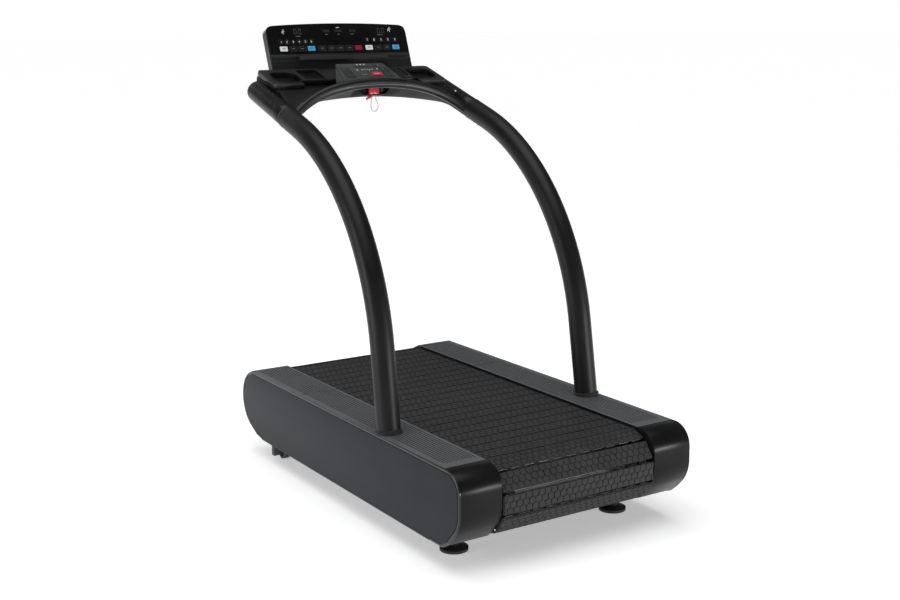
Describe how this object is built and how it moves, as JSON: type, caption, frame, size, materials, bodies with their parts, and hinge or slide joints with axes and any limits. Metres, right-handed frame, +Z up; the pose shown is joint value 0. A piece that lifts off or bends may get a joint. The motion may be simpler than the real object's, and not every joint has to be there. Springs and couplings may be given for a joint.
{
  "type": "slat-belt treadmill",
  "caption": "Indoor treadmill with a slatted rubber running belt between ribbed side covers, arched black tube handrails, and a tilted console with drink holders, keys and a safety cord.",
  "frame": {"origin": "centre of the footprint on the floor", "axes": "+Y the way the runner faces, towards the console; +X to the runner's right; +Z up"},
  "size_m": [0.86, 1.53, 1.5647],
  "materials": {
    "foot_rubber": "dull black rubber",
    "frame_steel": "dark grey powder coat",
    "bright_steel": "turned bright steel",
    "slat_alloy": "extruded aluminium",
    "tread_rubber": "black rubber with a raised hexagon pattern",
    "belt_rubber": "black toothed belt",
    "roller_nylon": "white nylon",
    "pulley_alloy": "cast aluminium",
    "motor_paint": "black enamel",
    "electronics_case": "finned aluminium case",
    "wheel_polyurethane": "black polyurethane",
    "panel_slate": "satin slate-grey shell",
    "cover_grey": "ribbed mid-grey cover",
    "cap_black": "satin near-black shell",
    "inlet_black": "black plastic",
    "rail_paint": "satin black powder coat",
    "collar_black": "soft black trim",
    "grip_black": "fine-grained black grip",
    "console_black": "satin black console plastic",
    "tray_black": "fine-grained black tray",
    "cup_black": "soft black liner",
    "display_gloss": "gloss black display face",
    "pad_grey": "dark grey control pad",
    "key_plastic": "coloured membrane keys",
    "rocker_black": "dark rocker key",
    "red_plastic": "crimson plastic",
    "cord_nylon": "thin pale cord"
  },
  "bodies": {
    "rear_feet": {"rear_foot_pads": "foot_rubber"},
    "chassis": {"levelling_studs": "bright_steel", "left_frame_rail": "frame_steel", "right_frame_rail": "frame_steel", "cross_members": "frame_steel", "roller_tracks": "frame_steel", "support_rollers": "roller_nylon", "slat_beams": "slat_alloy", "slat_treads": "tread_rubber", "carrier_belts": "belt_rubber", "frame_bearings": "bright_steel", "motor_housing": "motor_paint", "drive_belt": "belt_rubber", "motor_controller": "electronics_case", "lift_motor": "motor_paint", "lift_guides": "frame_steel", "left_side_panel": "panel_slate", "right_side_panel": "panel_slate", "left_top_cover": "cover_grey", "right_top_cover": "cover_grey", "front_covers": "cover_grey", "left_rear_cap": "cap_black", "right_rear_cap": "cap_black", "left_front_cap": "cap_black", "right_front_cap": "cap_black", "power_inlet": "inlet_black", "rail_mounts": "frame_steel", "rail_collars": "collar_black", "left_handrail": "rail_paint", "right_handrail": "rail_paint", "grip_castings": "grip_black", "rail_bolts": "bright_steel", "handlebar": "grip_black", "console_housing": "console_black", "console_tray": "tray_black", "cup_inserts": "cup_black", "display_front": "display_gloss", "display_rear": "console_black", "control_pad": "pad_grey", "display_keys": "key_plastic"},
    "front_axle": {"front_shaft": "bright_steel", "front_pulleys": "pulley_alloy", "driven_pulley": "pulley_alloy"},
    "rear_axle": {"rear_shaft": "bright_steel", "rear_pulleys": "pulley_alloy"},
    "armature": {"motor_rotor": "bright_steel", "motor_pulley": "pulley_alloy"},
    "lift_drive": {"lift_shaft": "bright_steel", "lift_pinions": "bright_steel"},
    "left_leg": {"left_lift_leg": "bright_steel"},
    "right_leg": {"right_lift_leg": "bright_steel"},
    "left_caster": {"left_wheel": "wheel_polyurethane"},
    "right_caster": {"right_wheel": "wheel_polyurethane"},
    "speed_key": {"speed_rocker": "rocker_black"},
    "incline_key": {"incline_rocker": "rocker_black"},
    "stop_button": {"stop_key": "red_plastic"},
    "safety_plug": {"safety_key": "red_plastic", "lanyard": "cord_nylon", "lanyard_clip": "red_plastic"},
    "mains_switch": {"power_switch": "red_plastic"}
  },
  "joints": [
    {"name": "incline", "type": "hinge", "parent": "rear_feet", "child": "chassis", "pos_m": [0, -0.535, 0.022], "axis": [1, 0, 0], "range_deg": [0, 8.53]},
    {"name": "front_axle_spin", "type": "hinge", "parent": "chassis", "child": "front_axle", "pos_m": [0, 0.6238, 0.2], "axis": [1, 0, 0], "continuous": true},
    {"name": "rear_axle_spin", "type": "hinge", "parent": "chassis", "child": "rear_axle", "pos_m": [0, -0.653, 0.2], "axis": [1, 0, 0], "continuous": true},
    {"name": "motor_spin", "type": "hinge", "parent": "chassis", "child": "armature", "pos_m": [0, 0.44, 0.2], "axis": [1, 0, 0], "continuous": true},
    {"name": "lift_turn", "type": "hinge", "parent": "chassis", "child": "lift_drive", "pos_m": [0, 0.5124, 0.14], "axis": [-1, 0, 0], "range_deg": [0, 442]},
    {"name": "left_leg_slide", "type": "slide", "parent": "chassis", "child": "left_leg", "axis": [0, 0, -1], "range_m": [0, 0.1625]},
    {"name": "right_leg_slide", "type": "slide", "parent": "chassis", "child": "right_leg", "axis": [0, 0, -1], "range_m": [0, 0.1625]},
    {"name": "left_wheel_spin", "type": "hinge", "parent": "left_leg", "child": "left_caster", "pos_m": [-0.355, 0.547, 0.032], "axis": [1, 0, 0], "continuous": true},
    {"name": "right_wheel_spin", "type": "hinge", "parent": "right_leg", "child": "right_caster", "pos_m": [0.355, 0.547, 0.032], "axis": [1, 0, 0], "continuous": true},
    {"name": "speed_rock", "type": "hinge", "parent": "chassis", "child": "speed_key", "pos_m": [0.08, 0.50027, 1.38535], "axis": [1, 0, 0], "range_deg": [-3, 3], "stiffness_Nm_per_rad": 1},
    {"name": "incline_rock", "type": "hinge", "parent": "chassis", "child": "incline_key", "pos_m": [-0.075, 0.50027, 1.38535], "axis": [1, 0, 0], "range_deg": [-3, 3], "stiffness_Nm_per_rad": 1},
    {"name": "stop_press", "type": "slide", "parent": "chassis", "child": "stop_button", "axis": [0, 0.454, -0.891], "range_m": [0, 0.002], "stiffness_N_per_m": 400, "springref_m": -0.002},
    {"name": "safety_pull", "type": "slide", "parent": "chassis", "child": "safety_plug", "axis": [0, -1, 0], "range_m": [0, 0.016]},
    {"name": "mains_rock", "type": "hinge", "parent": "chassis", "child": "mains_switch", "pos_m": [-0.339, 0.727, 0.206], "axis": [1, 0, 0], "range_deg": [-14, 0]}
  ],
  "couplings": [
    {"joint": "rear_axle_spin", "follows": "front_axle_spin", "ratio": 1},
    {"joint": "motor_spin", "follows": "front_axle_spin", "ratio": 3.1818},
    {"joint": "lift_turn", "follows": "incline", "ratio": 51.762},
    {"joint": "left_leg_slide", "follows": "incline", "m_per_rad": 1.087},
    {"joint": "right_leg_slide", "follows": "incline", "m_per_rad": 1.087}
  ]
}
